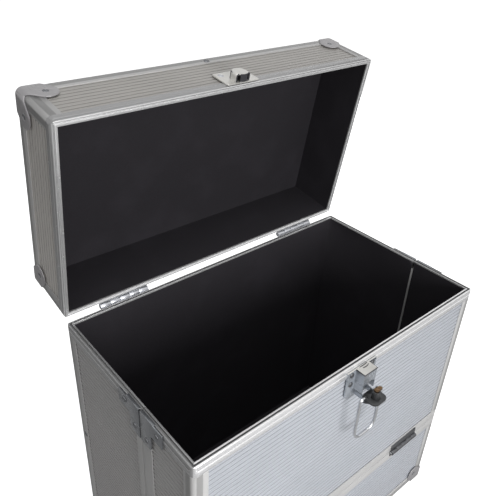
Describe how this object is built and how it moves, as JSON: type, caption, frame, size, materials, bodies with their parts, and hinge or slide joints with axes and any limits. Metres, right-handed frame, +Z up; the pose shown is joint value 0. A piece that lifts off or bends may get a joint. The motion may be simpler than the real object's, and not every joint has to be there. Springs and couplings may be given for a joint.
{
  "type": "record carrying case",
  "caption": "Upright hard case for records with a hinged lid, a drop-down front, draw latch with lock, and a folding carrying handle.",
  "frame": {"origin": "on the ground under the middle of the open case, latch lever and handle included", "axes": "+X to the right seen from the front, +Y to the back where the lid is hinged, +Z up"},
  "size_m": [0.3432, 0.2806, 0.4899],
  "materials": {
    "ribbed_sheet": "silver ribbed sheet laminated on board",
    "profile": "satin anodised",
    "lining": "dark matte lining",
    "plated_steel": "nickel plated pressed steel",
    "chrome_plate": "chrome plated",
    "cam_brass": "brass",
    "foot_rubber": "matte black rubber",
    "grip_plastic": "moulded black plastic"
  },
  "bodies": {
    "case": {"floor_panel": "ribbed_sheet", "back_panel": "ribbed_sheet", "left_side_panel": "ribbed_sheet", "right_side_panel": "ribbed_sheet", "lower_front_panel": "ribbed_sheet", "bottom_edge_frame": "profile", "rear_corner_posts": "profile", "lower_front_posts": "profile", "body_rim": "profile", "lower_front_top_rail": "profile", "split_edge_profiles": "profile", "body_lining": "lining", "floor_pad": "lining", "bottom_corner_caps": "plated_steel", "body_rivets": "plated_steel", "feet": "foot_rubber", "foot_screws": "plated_steel", "body_split_brackets": "plated_steel", "lid_hinge_body_leaves": "plated_steel", "lid_hinge_pins": "plated_steel", "front_hinge_body_leaves": "plated_steel", "front_hinge_pins": "plated_steel"},
    "drop_front": {"flap_front_panel": "ribbed_sheet", "left_wing_panel": "ribbed_sheet", "right_wing_panel": "ribbed_sheet", "flap_rim": "profile", "flap_bottom_rail": "profile", "flap_front_posts": "profile", "wing_edge_profiles": "profile", "flap_lining": "lining", "flap_split_brackets": "plated_steel", "flap_bracket_rivets": "plated_steel", "front_hinge_flap_leaves": "plated_steel", "latch_base": "plated_steel", "latch_rivets": "plated_steel", "lever_pin": "chrome_plate"},
    "lever": {"latch_lever": "chrome_plate", "lock_housing": "chrome_plate"},
    "lock": {"lock_plug": "chrome_plate", "lock_cam": "cam_brass"},
    "bail": {"latch_bail": "chrome_plate"},
    "lid": {"lid_top_panel": "ribbed_sheet", "lid_front_panel": "ribbed_sheet", "lid_back_panel": "ribbed_sheet", "lid_left_panel": "ribbed_sheet", "lid_right_panel": "ribbed_sheet", "lid_edge_frame": "profile", "lid_corner_posts": "profile", "lid_rim": "profile", "lid_lining": "lining", "lid_corner_caps": "plated_steel", "lid_rivets": "plated_steel", "latch_keeper": "chrome_plate", "keeper_screws": "plated_steel", "lid_hinge_lid_leaves": "plated_steel", "handle_brackets": "plated_steel", "handle_rivets": "plated_steel"},
    "handle": {"handle_bow": "chrome_plate", "handle_grip": "grip_plastic"}
  },
  "joints": [
    {"name": "lid_hinge", "type": "hinge", "parent": "case", "child": "lid", "pos_m": [0, 0.0782, 0.2892], "axis": [-1, 0, 0], "range_deg": [-81, 0]},
    {"name": "front_flap_hinge", "type": "hinge", "parent": "case", "child": "drop_front", "pos_m": [0, -0.1163, 0.113], "axis": [1, 0, 0], "range_deg": [0, 115]},
    {"name": "latch_lever", "type": "hinge", "parent": "drop_front", "child": "lever", "pos_m": [0.002, -0.1283, 0.2597], "axis": [1, 0, 0], "range_deg": [-90, 0]},
    {"name": "latch_bail", "type": "hinge", "parent": "lever", "child": "bail", "pos_m": [0.002, -0.12882, 0.26341], "axis": [1, 0, 0], "range_deg": [-97.9, 8]},
    {"name": "lock_turn", "type": "hinge", "parent": "lever", "child": "lock", "pos_m": [0.002, -0.1333, 0.262], "axis": [0, 0, 1], "range_deg": [0, 90]},
    {"name": "carry_handle", "type": "hinge", "parent": "lid", "child": "handle", "pos_m": [0, 0.12954, 0.39655], "axis": [1, 0, 0], "range_deg": [0, 180]}
  ]
}
